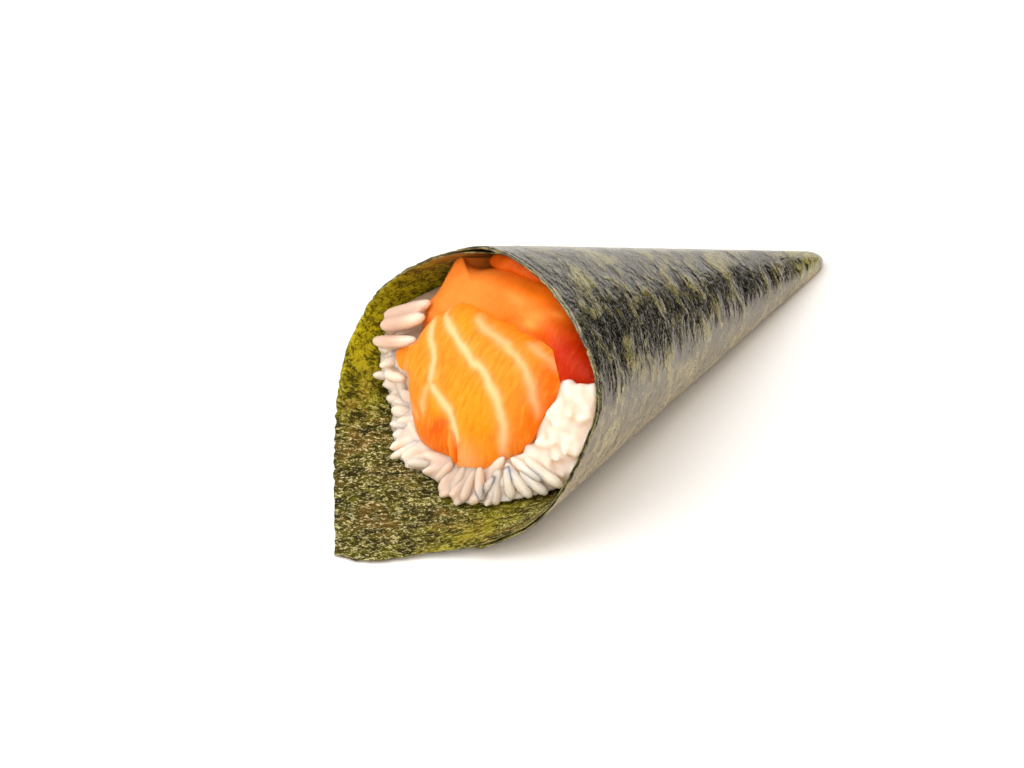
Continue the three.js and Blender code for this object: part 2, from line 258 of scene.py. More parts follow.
def keep_in_sheet(points):
    """Brings points that lie outside the innermost wrap back to its inner face."""
    for _ in range(2):
        angle, room = beside_wall(points)
        angle = np.where(angle - 360 > WRAP_START, angle - 360, angle)
        away = points - np.array([0, 0, LIFT])
        reach = np.linalg.norm(away, axis=1)
        sheet = SHEET_THICKNESS - wrap_offset(angle) - wave(angle, reach) - curl(angle, reach)
        from_axis = away - (away @ ALONG)[:, None] * ALONG
        points = points - unit(from_axis) * np.maximum(0, sheet - room)[:, None]
    return points


# The filling's leaning face: across it, up it and out of it.
MOUTH_LENGTH = 103
MOUTH_LEAN = math.radians(26)
FACE_UP = UP * math.cos(MOUTH_LEAN) - ALONG * math.sin(MOUTH_LEAN)
FACE_OUT = ALONG * math.cos(MOUTH_LEAN) + UP * math.sin(MOUTH_LEAN)
FACE_MIDDLE = ALONG * MOUTH_LENGTH + np.array([0, 0, LIFT])


def face_points(across, up, out):
    across, up, out = np.broadcast_arrays(np.asarray(across, float), up, out)
    return FACE_MIDDLE + across[..., None] * ACROSS + up[..., None] * FACE_UP + out[..., None] * FACE_OUT


def on_face(points):
    away = points - FACE_MIDDLE
    return away @ ACROSS, away @ FACE_UP, away @ FACE_OUT


# ---------------------------------------------------------------- making meshes

def deselect():
    bpy.ops.object.select_all(action="DESELECT")


def coordinates(piece):
    flat = np.empty(len(piece.data.vertices) * 3)
    piece.data.vertices.foreach_get("co", flat)
    return flat.reshape(-1, 3)


def set_coordinates(piece, points):
    piece.data.vertices.foreach_set("co", np.asarray(points, float).ravel())
    piece.data.update()


def paint(piece, name, values):
    layer = piece.data.attributes.new(name, "FLOAT", "POINT")
    layer.data.foreach_set("value", np.asarray(values, np.float32))


def apply_modifiers(piece):
    deselect()
    piece.select_set(True)
    bpy.context.view_layer.objects.active = piece
    for modifier in list(piece.modifiers):
        bpy.ops.object.modifier_apply(modifier=modifier.name)


def finish_piece(piece, slot, *nodes):
    piece.data.shade_smooth()
    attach(piece, "root")
    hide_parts(*nodes)


def coarse_sheet_box():
    angle, reach = np.meshgrid(np.linspace(WRAP_START, WRAP_END, 800), np.linspace(0, 1, 40), indexing="ij")
    points = sheet_points(angle, TIP_START + 0.4 + reach * (front_edge(angle) - TIP_START - 0.4))
    flat = points.reshape(-1, 3)
    return flat.min(0), flat.max(0)


# The tip's place in the frame: the model's nori and this one have their middles together.
own_low, own_high = coarse_sheet_box()
nori_low, nori_high = (np.array(corner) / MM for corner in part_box("nori"))
TIP_PLACE = np.array([
    (nori_low[0] + nori_high[0] - own_low[0] - own_high[0]) / 2,
    (nori_low[1] + nori_high[1] - own_low[1] - own_high[1]) / 2,
    0,
])


def to_frame(points):
    return (points + TIP_PLACE) * MM


def noise_at(points, size, seed=0.0):
    """Smooth noise from -1 to 1 at each point, with features of about a size."""
    shift = Vector((seed, 1.7 * seed, -0.6 * seed))
    return np.array([noise.noise(Vector(p) / size + shift) for p in points])


# ---------------------------------------------------------------- nori

def make_nori():
    deselect()
    bpy.ops.mesh.primitive_grid_add(x_subdivisions=COLUMNS, y_subdivisions=ROWS, size=1)
    nori = bpy.context.object
    nori.name = nori.data.name = "nori_sheet"
    start = coordinates(nori) + 0.5
    toward = 180 * start[:, 0]
    angle = np.interp(toward, bearing(ANGLES), ANGLES)
    reaches_tip = angle >= WRAP_END - 360 + TIP_SLIT
    first = np.where(reaches_tip, TIP_START + TIP_OPENING * (TIP_FULL - TIP_START), INNER_WRAP_START)
    last = front_edge(angle)
    edge = wall(angle, last, 0)
    last = last + FRAY * (noise_at(edge, 0.9) + 0.7 * noise_at(edge, 3.2, 5.0))
    reach = first + (last - first) * start[:, 1] ** 1.2
    points = sheet_points(angle, reach)

    # The sheet's own flat coordinates, in tenths of a metre, carry its grain round every wrap.
    flat_x = reach * np.cos(np.radians(toward)) / 100
    flat_y = reach * np.sin(np.radians(toward)) / 100
    flat = np.stack([flat_x * 100, flat_y * 100, np.zeros_like(flat_x)], axis=-1)
    relief = 0.06 * noise_at(flat * [1, 0.35, 1], 1.4) + 0.05 * noise_at(flat * [1, 0.5, 1], 3.5, 3.0)
    relief *= smooth(reach, 8, 20) * smooth(points[:, 2], 0.9, 2.0)
    points += outward(angle) * relief[:, None]
    set_coordinates(nori, to_frame(points))

    uv = nori.data.uv_layers[0]
    uv.name = "sheet"
    corner = np.empty(len(nori.data.loops), int)
    nori.data.loops.foreach_get("vertex_index", corner)
    uv.data.foreach_set("uv", np.stack([flat_x[corner], flat_y[corner]], axis=-1).ravel())

    # Painted light: the glow of light coming through the sheet where one wrap stands alone and upright, at the side
    # away from the lip, and more weakly low down near the floor; the attribute is named thin.
    flap = (angle < FLAP_CORNER_ANGLE) * smooth(reach, 78, 96)
    near_floor = bell(angle - 25, 10) * smooth(reach, 104, 116)
    paint(nori, "thin", flap * bell(angle + 92, 37) + 0.3 * near_floor)
    # Painted reflection: a pale band low on the outer wrap's right side, where the white floor is reflected.
    paint(nori, "painted_floor_reflection", 0.8 * bell(angle - 360 - 60, 26))
    # Painted shade: the inner face at the top, where two wraps lie together and the wall sits in shadow, is painted
    # brown.
    paint(nori, "double_wrap_shade", np.where(angle < 0, smooth(-angle, 112, 150), (angle > 150) & (angle < 240)))
    paint(nori, "near_tip", 1 - smooth(reach, 12, 26))
    lower = smooth(reach, 78, 96) * smooth(angle, -46, -22)
    paint(nori, "lower", lower * (1 - 0.4 * smooth(angle, 0, 25)) * (1 - smooth(angle, 40, 70)))

    solidify = nori.modifiers.new("thickness", "SOLIDIFY")
    solidify.thickness = SHEET_THICKNESS * MM
    solidify.offset = 0
    solidify.material_offset = 1
    solidify.material_offset_rim = 2
    for material in (nori_outside(), nori_inside(), nori_cut_edge()):
        nori.data.materials.append(material)
    apply_modifiers(nori)
    finish_piece(nori, "nori", "nori")
    return nori


# ---------------------------------------------------------------- salmon

def closed_curve(points, count):
    """A smooth closed line through points, as evenly spaced places on it."""
    p = np.array(points, float)
    t = np.linspace(0, 1, 24, endpoint=False)[:, None]
    before, here, after, later = np.roll(p, 1, 0), p, np.roll(p, -1, 0), np.roll(p, -2, 0)
    pieces = [
        0.5 * (2 * b + (c - a) * t + (2 * a - 5 * b + 4 * c - d) * t**2 + (3 * b - a - 3 * c + d) * t**3)
        for a, b, c, d in zip(before, here, after, later)
    ]
    line = np.concatenate(pieces + [p[:1]])
    steps = np.concatenate([[0], np.cumsum(np.linalg.norm(np.diff(line, axis=0), axis=1))])
    even = np.asarray(count) * steps[-1]
    return np.stack([np.interp(even, steps, line[:, k]) for k in (0, 1)], axis=-1)


def softened_curve(points, count):
    """The same line with its corners rounded away."""
    line = closed_curve(points, np.linspace(0, 1, 120, endpoint=False))
    spectrum = np.fft.fft(line[:, 0] + 1j * line[:, 1])
    spectrum[4:-3] = 0
    soft = np.fft.ifft(spectrum)
    places = np.linspace(0, 1, 120, endpoint=False)
    return np.stack([np.interp(count, places, part, period=1) for part in (soft.real, soft.imag)], axis=-1)


def distance_to_line(across, up, line):
    """Shortest distance from each place to an open line of points, and how far along the line it is."""
    place = np.stack([across, up], axis=-1)
    nearest = np.full(len(place), 1e9)
    share = np.zeros(len(place))
    for k, (a, b) in enumerate(zip(line[:-1], line[1:])):
        a, b = np.array(a, float), np.array(b, float)
        t = np.clip((place - a) @ (b - a) / ((b - a) @ (b - a)), 0, 1)
        far = np.linalg.norm(place - a - t[:, None] * (b - a), axis=1)
        closer = far < nearest
        nearest = np.where(closer, far, nearest)
        share = np.where(closer, (k + t) / (len(line) - 1), share)
    return nearest, share


SLICES = {
    "salmon_front": {
        "outline": [(-11.0, 6.6), (-13.4, 3.8), (-14.4, 0.6), (-14.8, -2.2), (-17.6, -3.8), (-18.6, -5.6),
                    (-16.6, -7.6), (-13.4, -7.8), (-11.8, -10.6), (-9.0, -14.4), (-6.0, -17.4), (-2.4, -18.6),
                    (1.4, -18.6), (4.2, -18.8), (6.2, -20.4), (8.9, -20.1), (11.8, -17.4), (14.2, -13.4),
                    (16.2, -10.0), (17.2, -5.0), (17.8, 0), (17.3, 4.2), (15.8, 7.6), (13.0, 8.4), (9.4, 8.2),
                    (4.0, 8.9), (-0.4, 9.0), (-5.0, 9.4), (-8.4, 8.8)],
        "middle": (2, -4), "rim": 0.5, "dome": 7.6, "flatness": 3.0, "end": 0.5,
    },
    "salmon_back": {
        "outline": [(-15.5, -2), (0, -4), (15, -1.5), (22.4, 1.6), (24.2, 4.2), (23.2, 7.6), (19.6, 10.8),
                    (14.6, 14.4), (8.6, 17.0), (2.0, 17.2), (-4.0, 16.8), (-8.6, 15.8), (-11.4, 14.6),
                    (-14.2, 14.6), (-16.4, 16.2), (-17.2, 12.2), (-17.8, 8.4), (-18.6, 3.4)],
        "middle": (2, 7), "rim": -2.5, "dome": 5.5, "flatness": 2.6, "end": 0.45,
    },
    "salmon_top": {
        "outline": [(-2, 15.8), (2.6, 16.2), (4.6, 17.2), (3.4, 19.0), (1.0, 20.1), (-2, 20.8), (-7.0, 19.8),
                    (-10.2, 18.0), (-10.2, 16.2), (-6.0, 15.2)],
        "middle": (-3, 17.8), "rim": -3, "dome": 2.9, "flatness": 2.4, "end": 0.6,
    },
}
SLICE_END_SHARE = 0.12
FRONT_SHARE = 0.74  # of the rings of points on a slice, those on its front

# Places on a slice are across and up the leaning face.
TONGUE = (-12.6, -15.6)  # the front slice thins out to a tongue here, at its left
PINCH = [(3.4, -12.7), (4.9, -13.9), (5.7, -15.2), (5.9, -17.2), (5.1, -19.8)]
PINCH_DEPTH = 1.1
FOLD_HUMPS = [(8.6, 10.9, 2.8, 1.5), (13.0, 10.6, 2.6, 1.2), (18.5, 6.6, 3.5, 1.2), (-6.0, 12.0, 5.0, 0.8)]
# Painted highlights on the back slice's folds: across, up, size and strength.
FOLD_LIGHTS = [(1.8, 12.7, 1.6, 0.9), (7.4, 11.6, 2.2, 0.8), (7.6, 9.4, 1.4, 0.9), (11.1, 13.2, 0.9, 0.6)]
FOLD_CREASE = [(2.0, 7.6), (5.0, 9.4), (7.4, 8.2), (11.0, 8.0)]

# Lines of fat on the front slice.
FAT_LINES = [
    [(-12.5, 3.9), (-8.5, -0.3), (-5.9, -2.5), (-4.2, -4.8), (-3.3, -7.4)],
    [(-3.6, -6.6), (-2.2, -8.0), (0.4, -9.1), (2.6, -10.2), (3.9, -11.3), (4.9, -12.6), (5.8, -13.9), (6.1, -15.0)],
    [(-3.4, -7.0), (-4.4, -9.0), (-4.4, -10.8), (-3.4, -12.8)],
    [(-12.5, -6.5), (-11.5, -9.7), (-8.6, -12.2), (-4.9, -14.2)],
    [(-10.4, 6.2), (-8.4, 4.5), (-5.7, 3.2), (-3.3, 2.1), (-1.3, 1.4), (1.0, 0.7), (3.0, -0.4), (5.3, -0.8),
     (7.4, -1.9), (9.2, -3.3), (10.7, -4.6), (12.0, -6.3), (13.0, -8.1), (13.5, -10.0), (13.5, -12.0), (13.7, -13.8)],
    [(-2.4, 7.3), (-0.8, 6.5), (0.8, 5.9), (4.1, 5.3), (7.7, 4.6), (10.6, 3.5), (12.8, 2.2), (14.3, 0.7),
     (15.6, -1.3), (16.4, -3.0), (16.8, -4.5)],
    [(10.1, 6.8), (12.4, 6.3), (14.3, 5.8), (15.6, 5.2), (16.5, 4.1)],
]
FAT_STRENGTHS = [0.9, 1.0, 0.5, 0.4, 0.95, 0.7, 0.5]
FAT_WIDTH = 0.62
FAT_HALO = 1.9


def slice_mesh(name, segments, rings):
    shape = SLICES[name]
    deselect()
    bpy.ops.mesh.primitive_uv_sphere_add(segments=segments, ring_count=rings, radius=1)
    piece = bpy.context.object
    piece.name = piece.data.name = name + "_slice"
    start = coordinates(piece)
    polar = np.arccos(np.clip(start[:, 2], -1, 1)) / math.pi
    round_it = (np.arctan2(start[:, 1], start[:, 0]) / (2 * math.pi)) % 1
    outline = closed_curve(shape["outline"], round_it)
    soft_outline = softened_curve(shape["outline"], round_it)
    middle = np.array(shape["middle"], float)
    front = polar <= FRONT_SHARE
    fraction = np.sin(np.clip(polar / FRONT_SHARE, 0, 1) * math.pi / 2)
    behind = np.clip((polar - FRONT_SHARE) / (1 - FRONT_SHARE), 0, 1)
    closing = smooth(behind, 0.9, 1.0)
    edge = soft_outline + (outline - soft_outline) * fraction[:, None] ** 3
    place = middle + (edge - middle) * fraction[:, None]
    rise = shape["dome"] * (1 - fraction ** shape["flatness"]) ** 0.62
    points = face_points(place[:, 0], place[:, 1], shape["rim"] + rise)
    along = 1 - behind
    scale = shape["end"] + (1 - shape["end"]) * along
    share = np.sqrt(SLICE_END_SHARE + (1 - SLICE_END_SHARE) * along) * (1 - closing)
    back_place = middle + (outline - middle) * share[:, None]
    back = face_points(back_place[:, 0], back_place[:, 1], shape["rim"])
    lifted = np.array([0, 0, LIFT])
    back = (back - lifted) * scale[:, None] + lifted
    points = np.where(front[:, None], points, back)
    return piece, points, rise * front


def side_of_line(across, up, line):
    """Positive to the left of a line that runs downward, by the distance to it."""
    far, share = distance_to_line(across, up, line)
    start, end = np.array(line[0], float), np.array(line[-1], float)
    run = end - start
    turned = (across - start[0]) * run[1] - (up - start[1]) * run[0]
    return far * np.sign(turned), share


def make_salmon_front():
    piece, points, rise = slice_mesh("salmon_front", 320, 150)
    across, up, out = on_face(points)
    on_front = smooth(rise, 0.1, 1.5)

    # The left side thins to a tongue, and a pinch sets off the lobe at the lower left.
    thin = smooth(-across, -TONGUE[0], -TONGUE[1]) * smooth(-up, 2.5, 4.5)
    points -= FACE_OUT * (thin * np.maximum(0, rise - 1.3))[:, None]
    beside, share = side_of_line(across, up, PINCH)
    crease = bell(beside, 0.5) * smooth(share, 0.0, 0.3)
    lobe = smooth(beside, -0.2, 0.5) * bell(beside, 3.5) * smooth(-up, 12.2, 15)
    points -= FACE_OUT * (on_front * (PINCH_DEPTH * 0.8 * crease + PINCH_DEPTH * lobe))[:, None]
    ripple = noise_at(points, 6.0, 2.0)
    points += FACE_OUT * (0.45 * ripple * on_front)[:, None]

    fat = np.zeros(len(points))
    halo = np.zeros(len(points))
    wander = 0.35 * noise_at(points, 2.5, 4.0)
    for line, strength in zip(FAT_LINES, FAT_STRENGTHS):
        far, share = distance_to_line(across + wander, up + wander, line)
        ends = smooth(share, -0.05, 0.12) * smooth(1 - share, -0.05, 0.15)
        width = FAT_WIDTH * (0.7 + 0.5 * ends)
        fat = np.maximum(fat, strength * bell(far, width) * (0.35 + 0.65 * ends))
        halo = np.maximum(halo, strength * bell(far, FAT_HALO) * ends)
    points -= FACE_OUT * (0.16 * halo * on_front)[:, None]
    set_coordinates(piece, to_frame(keep_in_sheet(points)))
    # Painted shade: the lobe beside the pinch, the right side where the slice turns away, and the pinch's crease,
    # hook and fold are painted darker.
    lower_left = spot(across, up, (1.0, -15.4), (5.5, 3.4)) * smooth(beside, -0.3, 0.8)
    right_side = smooth(across, 11.5, 18)
    hook = spot(across - 0.8 * (up + 12.6), up, (1.6, -12.6), (1.4, 2.4))
    fold = bell(beside, 1.2) * smooth(share, 0.1, 0.3) * smooth(beside, -0.4, 0.4)
    shade_and_tone = 0.75 * lower_left + 0.6 * right_side + 0.8 * crease + 0.7 * hook + 0.4 * fold
    paint(piece, "shade_and_tone", np.clip(shade_and_tone, 0, 1))
    gold_and_highlight = spot(across, up, (7, -8), (6, 7))
    gold_and_highlight += 0.9 * spot(across, up, (-0.8, -10.2), (1.6, 1.8))
    gold_and_highlight += 0.8 * spot(across, up, (-4, 5), (3.5, 2.5))
    pale_end = spot(across, up, (7.8, -16.4), (2.6, 2.6)) * smooth(-beside, 0.2, 1.2)
    fat = np.maximum(fat, 0.45 * pale_end)
    paint(piece, "fat", np.clip(0.92 * fat + 0.08 * halo, 0, 1) * smooth(rise, 0.2, 1.5))
    paint(piece, "gold_and_highlight", np.clip(gold_and_highlight, 0, 1))
    material = salmon_material("salmon_bright", SALMON_BRIGHT, SALMON_BRIGHT_SHADE_AND_TONE, SALMON_GOLD, BRIGHT_FIBRES)
    piece.data.materials.append(material)
    finish_piece(piece, "salmon", "salmon_front")


def make_salmon_back():
    piece, points, rise = slice_mesh("salmon_back", 280, 120)
    across, up, out = on_face(points)
    on_front = smooth(rise, 0.1, 1.2)
    humps = np.zeros(len(points))
    for x, y, size, height in FOLD_HUMPS:
        humps += height * spot(across, up, (x, y), (size, size))
    beside, share = side_of_line(across, up, FOLD_CREASE)
    humps -= 0.6 * bell(beside, 1.0)
    humps += 0.8 * noise_at(points * [1, 1, 1.6], 6.5, 6.0) + 0.3 * noise_at(points, 2.4, 1.0)
    points += FACE_OUT * (humps * on_front)[:, None]
    set_coordinates(piece, to_frame(keep_in_sheet(points)))
    paint(piece, "fat", np.zeros(len(points)))
    # Painted light: the back slice is lighter at its left, with painted highlights on its folds.
    lights = smooth(-across, -4, 10) * 0.5
    for x, y, size, strength in FOLD_LIGHTS:
        lights += strength * spot(across, up, (x, y), (1.6 * size, 0.7 * size))
    paint(piece, "gold_and_highlight", np.clip(lights, 0, 1))
    # Painted shade: darker towards the lower right, under the lip, except at the painted highlights.
    paint(piece, "shade_and_tone", smooth(across - 0.7 * up, -6, 14) * np.clip(1 - lights, 0, 1))
    material = salmon_material("salmon_red", SALMON_RED, SALMON_RED_SHADE_AND_TONE, SALMON_PINK_HIGHLIGHT, RED_FIBRES)
    piece.data.materials.append(material)
    finish_piece(piece, "salmon", "salmon_back")


def make_salmon_top():
    piece, points, rise = slice_mesh("salmon_top", 140, 70)
    points += FACE_OUT * (0.5 * noise_at(points, 2.8, 8.0) * smooth(rise, 0.1, 1.0))[:, None]
    set_coordinates(piece, to_frame(keep_in_sheet(points)))
    paint(piece, "fat", np.zeros(len(points)))
    paint(piece, "gold_and_highlight", np.zeros(len(points)))
    # The top slice is darker and redder all over.
    paint(piece, "shade_and_tone", np.full(len(points), 0.45))
    piece.data.materials.append(bpy.data.materials["salmon_red"])
    finish_piece(piece, "salmon", "salmon_top")


# ---------------------------------------------------------------- rice

RICE_START = 18
RICE_OFFSET = -1.4
RIGHT_BULGE = 2.2
RICE_VOXEL = 0.39
RICE_SMOOTHING = 7
HEAP_SMOOTHING = 8  # more, where the grains are pressed together at the right
GRAIN_LENGTH = 6.8
GRAIN_WIDTH = 2.5
GRAIN_SIDES = 8
GRAIN_RINGS = 8
GRAIN_ARC = (-88, 112)
SUNK_GRAINS = (7000, -0.9, 0.3, 0.95, -1.6)  # tries, lowest and highest, spacing, deepest in a slice
LOOSE_GRAINS = (900, 0.2, 0.8, 2.3, -0.5)
GRAIN_WALL_GAP = 0.8
STANDING_WALL_GAP = 0.2
RICE_MIDDLE = face_points(2, -4, -1)


# How far the rice reaches along the wall, at angles from the bottom: furthest there, least under the top.
RICE_REACH = [(-180, 88), (-150, 83.5), (-130, 86), (-112, 93), (-100, 99), (-90, 103), (-80, 105.4), (-65, 106.4),
              (-50, 106.6), (-39, 107.4), (-27, 109.6), (-22, 111.4), (-14, 113.6), (-8, 115.8), (-2, 116.8),
              (6, 119.3), (11, 120), (15, 119.2), (20, 117.8), (25, 115.8), (31, 114), (40, 112.4), (50, 111),
              (60, 110), (80, 109.6), (90, 107.9), (100, 104.9), (110, 101.4), (120, 98), (130, 95), (145, 92),
              (160, 90), (180, 88)]


def rice_edge(angle):
    return np.interp(from_bottom(angle), *zip(*RICE_REACH))


def inside_wall(angle, reach, offset):
    points = wall(angle, reach, offset)
    points[..., 2] = np.maximum(points[..., 2] + LIFT, REST_OFFSET - offset)
    return points


def rice_front(angle, share):
    """Places on the rice's front, by the share of the way from its middle out to the wall."""
    edge = inside_wall(angle, rice_edge(angle), RICE_OFFSET)
    right = RIGHT_BULGE * bell(from_bottom(angle) - 70, 35)
    swell = 3 * (1 - share) * share + right * smooth(share, 0.5, 0.85) * (1 - share**6)
    return RICE_MIDDLE + (edge - RICE_MIDDLE) * share[:, None] + FACE_OUT * swell[:, None]


def make_rice_core(sunk, faces):
    """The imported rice: a core with grains sunk in it, grown together as cooked rice sticks."""
    deselect()
    bpy.ops.mesh.primitive_uv_sphere_add(segments=180, ring_count=110, radius=1)
    core = bpy.context.object
    start = coordinates(core)
    polar = np.arccos(np.clip(start[:, 2], -1, 1)) / math.pi
    angle = np.degrees(np.arctan2(start[:, 1], start[:, 0])) % 360
    edge_reach = rice_edge(angle)
    front = rice_front(angle, np.clip(polar / 0.6, 0, 1))
    back = np.clip((polar - 0.6) / 0.4, 0, 1)
    reach = edge_reach + (RICE_START - edge_reach) * back
    closing = smooth(back, 0.93, 1.0)
    body = inside_wall(angle, reach, RICE_OFFSET)
    axis = (reach * math.cos(0.05))[:, None] * ALONG + np.array([0, 0, LIFT])
    body = body + (axis - body) * closing[:, None]
    points = np.where((polar <= 0.6)[:, None], front, body)
    bumps = 0.3 * noise_at(points, 1.7, 9.0)
    points += FACE_OUT * (bumps * (polar < 0.6))[:, None]
    set_coordinates(core, to_frame(points))
    grains = grain_piece("sunk_grains", sunk, faces)
    grains.select_set(True)
    bpy.ops.object.join()
    core.name = core.data.name = "rice_core"
    remesh = core.modifiers.new("grown_together", "REMESH")
    remesh.mode = "VOXEL"
    remesh.voxel_size = RICE_VOXEL * MM
    soften = core.modifiers.new("softened", "SMOOTH")
    soften.factor = 0.5
    soften.iterations = RICE_SMOOTHING
    apply_modifiers(core)
    heap = rice_heap(coordinates(core) / MM - TIP_PLACE)
    group = core.vertex_groups.new(name="heap")
    for share in range(1, 11):
        group.add(np.flatnonzero(np.round(heap * 10) == share).tolist(), share / 10, "REPLACE")
    pack = core.modifiers.new("packed_heap", "SMOOTH")
    pack.vertex_group = "heap"
    pack.factor = 0.5
    pack.iterations = HEAP_SMOOTHING
    apply_modifiers(core)
    core.data.materials.clear()
    core.data.materials.append(rice_material())
    paint(core, "painted_shade_and_bounce", rice_shade_and_bounce(coordinates(core) / MM - TIP_PLACE))
    finish_piece(core, "rice", "rice")


def rice_heap(points):
    """1 in the pressed heap at the right, 0 elsewhere."""
    across, up, _ = on_face(points)
    return smooth(across, 13, 19) * smooth(up, -19, -13)


def rice_shade_and_bounce(points):
    """How much painted shade the rice gets, warmed where light bounces off the slices: most at its foot, its left and
    by the slices, least in the heap at the right.
    """
    across, up, _ = on_face(points)
    heap = smooth(across, 12, 20)
    touching = np.exp(-np.maximum(0, slice_room(points)) / 1.5)
    low = 0.55 * smooth(-up, 14, 19) * (1 - heap) * smooth(across, -4, 5)
    left = 0.75 * smooth(-across, 15, 19) * smooth(up, -7, -4)
    return np.maximum(0.7 * touching, 0.22 + 0.25 * (1 - heap)) + left + low


def grain_piece(name, bodies, faces):
    mesh = bpy.data.meshes.new(name)
    size = len(bodies[0])
    starts = range(0, len(bodies) * size, size)
    polygons = [tuple(first + k for k in face) for first in starts for face in faces]
    mesh.from_pydata(to_frame(np.concatenate(bodies)).tolist(), [], polygons)
    piece = bpy.data.objects.new(name, mesh)
    bpy.context.scene.collection.objects.link(piece)
    return piece


def grain_form():
    """One cooked grain, lying along X, blunt at both ends and slightly bent."""
    deselect()
    bpy.ops.mesh.primitive_uv_sphere_add(segments=GRAIN_SIDES, ring_count=GRAIN_RINGS, radius=0.5)
    grain = bpy.context.object
    start = coordinates(grain)
    faces = [tuple(face.vertices) for face in grain.data.polygons]
    bpy.data.objects.remove(grain)
    x = 2 * start[:, 2]
    ring = np.hypot(start[:, 0], start[:, 1])
    round_it = start[:, :2] / np.maximum(ring, 1e-9)[:, None]
    width = np.sqrt(np.maximum(0, 1 - np.abs(x) ** 3.2)) * (1 - 0.13 * x) * 0.5 * (ring > 1e-6)
    form = np.stack([
        0.5 * x * GRAIN_LENGTH,
        round_it[:, 0] * width * GRAIN_WIDTH,
        round_it[:, 1] * width * GRAIN_WIDTH * 0.85 + 0.22 * (1 - x**2),
    ], axis=-1)
    return form, faces


def slice_limits():
    """Each slice's outline as distances from its middle, by bearing."""
    limits = []
    for shape in SLICES.values():
        outline = closed_curve(shape["outline"], np.linspace(0, 1, 200, endpoint=False))
        rays = outline - np.array(shape["middle"], float)
        bearings = np.arctan2(rays[:, 1], rays[:, 0])
        order = bearings.argsort()
        limits.append((shape, bearings[order], np.linalg.norm(rays, axis=1)[order]))
    return limits


SLICE_LIMITS = slice_limits()


def beside_outline(points, shape, bearings, distances):
    """How far each point is from a slice's middle, on the leaning face, and how far the outline is there."""
    place = np.stack(on_face(points)[:2], axis=-1) - np.array(shape["middle"], float)
    limit = np.interp(np.arctan2(place[:, 1], place[:, 0]), bearings, distances, period=2 * math.pi)
    return np.linalg.norm(place, axis=1), limit


def slice_room(points):
    """How far each point is clear of the slices' fronts and bodies, in millimetres; negative inside one."""
    out = on_face(points)[2]
    room = np.full(len(points), 1e9)
    for limits in SLICE_LIMITS:
        shape = limits[0]
        far, limit = beside_outline(points, *limits)
        fraction = far / limit
        top = shape["rim"] + shape["dome"] * (1 - np.clip(fraction, 0, 1) ** shape["flatness"]) ** 0.62
        room = np.minimum(room, np.maximum((fraction - 1) * limit, out - top))
    return room


def beside_front_slice(points):
    """How far each point is past the front slice's outline, whatever its height."""
    far, limit = beside_outline(points, *SLICE_LIMITS[0])
    return far - limit


# Grains that stand out, one by one: across, up and out of the face at each end.
LONG_GRAINS = [
    ((-23.4, -0.3, 2.5), (-15.9, 5.6, 1.5), 1.35),
    ((-22.8, -2.2, 3.0), (-14.6, 2.9, 3.0), 1.4),
    ((-23.2, -5.2, 2.5), (-14.4, -1.7, 3.0), 1.2),
    ((-19.0, -9.6, 1.0), (-14.5, -8.9, 1.0), 1.0),
    ((3.6, -22.4, 4.0), (5.0, -18.2, 3.9), 0.85),
    ((8.2, -23.0, 4.6), (7.9, -17.9, 3.8), 0.85),
    ((11.4, -23.4, 5.2), (10.1, -17.7, 3.6), 0.8),
    ((13.0, -23.2, 5.0), (14.4, -17.0, 3.2), 0.9),
    ((14.7, -21.7, 4.7), (11.3, -16.8, 4.3), 0.85),
    ((16.4, -21.5, 2.7), (14.0, -15.6, 2.6), 1.05),
    ((18.1, -19.4, 1.2), (16.0, -14.5, 3.4), 0.95),
    ((20.7, -17.7, -0.2), (15.4, -14.2, 3.2), 1.1),
    ((22.8, -13.7, 1.2), (16.2, -12.9, 3.6), 0.95),
    ((23.1, -16.0, -0.8), (18.2, -14.0, 2.6), 0.95),
    ((25.9, -13.6, -0.3), (18.8, -11.8, 3.4), 1.0),
    ((18.9, 3.7, 1.2), (22.4, 0.4, 2.0), 1.35),
    ((21.5, 4.0, 1.0), (24.2, 0.8, 1.6), 1.35),
    ((23.7, 5.2, 0.3), (25.8, 1.6, 0.8), 1.2),
]


GROWN_IN = [grain[0] for grain in LONG_GRAINS[:2] + LONG_GRAINS[-3:]]  # into the mass


def grain_bed():
    """Places over the rice's front that no slice covers, with the way out to the wall and the share of it."""
    arc = np.linspace(*GRAIN_ARC, 240)
    rim = inside_wall(arc, rice_edge(arc), RICE_OFFSET)
    steps = np.concatenate([[0], np.cumsum(np.linalg.norm(np.diff(rim, axis=0), axis=1))])
    even = np.linspace(0, steps[-1], 260)
    rim = np.stack([np.interp(even, steps, rim[:, k]) for k in range(3)], axis=-1)
    share = np.sqrt(np.linspace(0.1, 1, 90))
    edges, shares = np.repeat(rim, len(share), axis=0), np.tile(share, len(rim))
    places = rice_front(np.repeat(np.interp(even, steps, arc), len(share)), shares)
    bare = (slice_room(places + FACE_OUT * 1.5) > -0.9) & (beside_front_slice(places) > 0.1)
    return places[bare], unit(edges - RICE_MIDDLE)[bare], shares[bare]


